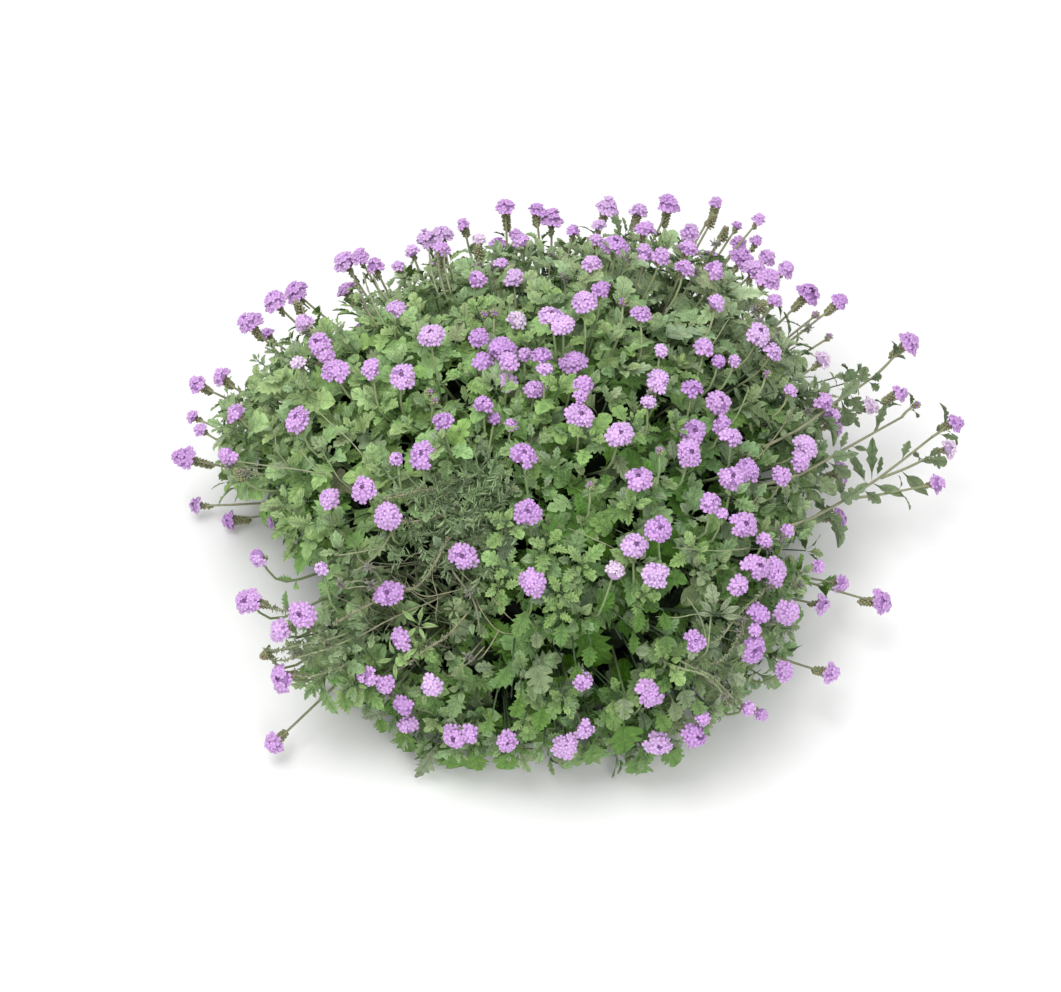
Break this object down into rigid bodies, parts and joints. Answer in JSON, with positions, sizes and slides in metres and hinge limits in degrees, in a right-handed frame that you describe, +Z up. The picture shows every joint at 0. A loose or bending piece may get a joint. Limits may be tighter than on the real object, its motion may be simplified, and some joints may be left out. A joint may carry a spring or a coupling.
{
  "type": "flowering verbena plant",
  "caption": "Mounded garden verbena, cut at the ground: woody crown, branching leafy stems and domed lilac flower heads on long stalks, resting on its flat cut base.",
  "frame": {"origin": "middle of the crown's flat cut face, on the surface the plant rests on", "axes": "+Z up, +X along the plant's longest spread to the viewer's right, +Y towards the plant's back"},
  "size_m": [0.9512, 0.7534, 0.398],
  "materials": {
    "crown": "rough bark",
    "foliage": "matt green leaves and stems with lilac flower heads"
  },
  "bodies": {
    "root": {"crown": "crown", "branch_01": "foliage", "branch_02": "foliage", "branch_03": "foliage", "branch_04": "foliage", "branch_05": "foliage", "branch_06": "foliage", "branch_07": "foliage", "branch_08": "foliage", "branch_09": "foliage", "branch_10": "foliage", "branch_11": "foliage", "branch_12": "foliage", "branch_13": "foliage", "branch_14": "foliage", "branch_15": "foliage", "branch_16": "foliage", "branch_17": "foliage", "branch_18": "foliage", "branch_19": "foliage", "branch_20": "foliage", "branch_21": "foliage", "branch_22": "foliage", "branch_23": "foliage", "branch_24": "foliage", "branch_25": "foliage", "branch_26": "foliage", "branch_27": "foliage", "branch_28": "foliage", "branch_29": "foliage", "branch_30": "foliage", "branch_31": "foliage", "branch_32": "foliage", "branch_33": "foliage", "branch_34": "foliage", "branch_35": "foliage", "branch_36": "foliage", "branch_37": "foliage", "branch_38": "foliage", "branch_39": "foliage", "branch_40": "foliage", "branch_41": "foliage", "branch_42": "foliage", "branch_43": "foliage", "branch_44": "foliage", "branch_45": "foliage", "branch_46": "foliage", "branch_47": "foliage", "branch_48": "foliage", "branch_49": "foliage", "branch_50": "foliage", "branch_51": "foliage", "branch_52": "foliage", "branch_53": "foliage", "branch_54": "foliage", "branch_55": "foliage", "branch_56": "foliage", "branch_57": "foliage", "branch_58": "foliage"}
  },
  "joints": []
}
